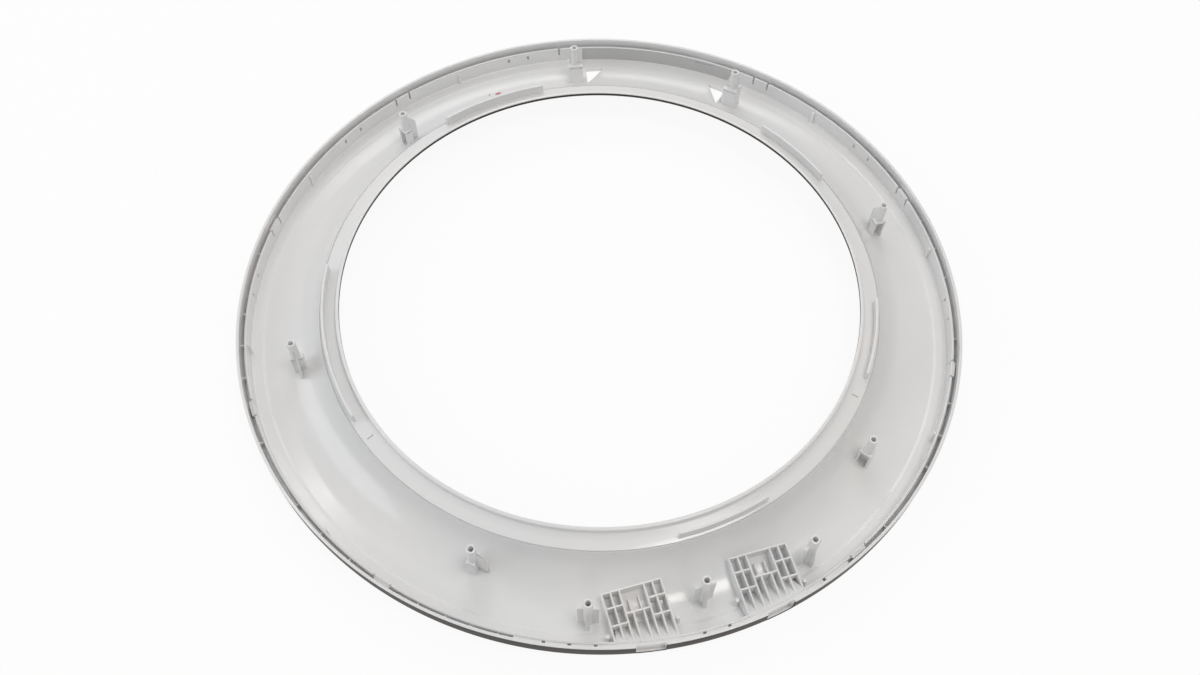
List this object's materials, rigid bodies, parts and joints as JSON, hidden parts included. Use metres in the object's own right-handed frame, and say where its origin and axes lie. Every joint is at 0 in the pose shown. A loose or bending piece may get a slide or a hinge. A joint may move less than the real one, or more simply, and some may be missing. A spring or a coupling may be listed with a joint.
{
  "type": "washing machine outer door frame",
  "caption": "Round moulded outer frame of a front-loading washing machine door, rear side up, with dished section, snap fence, screw bosses and hinge rib grids",
  "frame": {"origin": "on the ring's axis, in the plane that the front face rests on", "axes": "+Z points to the rear of the door, away from the front face; the handle side is near +Y and the hinge side near -Y"},
  "size_m": [0.48, 0.48, 0.036],
  "materials": {
    "white_abs": "satin white moulded ABS, with a dark satin coat on the front and outside"
  },
  "bodies": {
    "root": {"door_frame": "white_abs"}
  },
  "joints": []
}
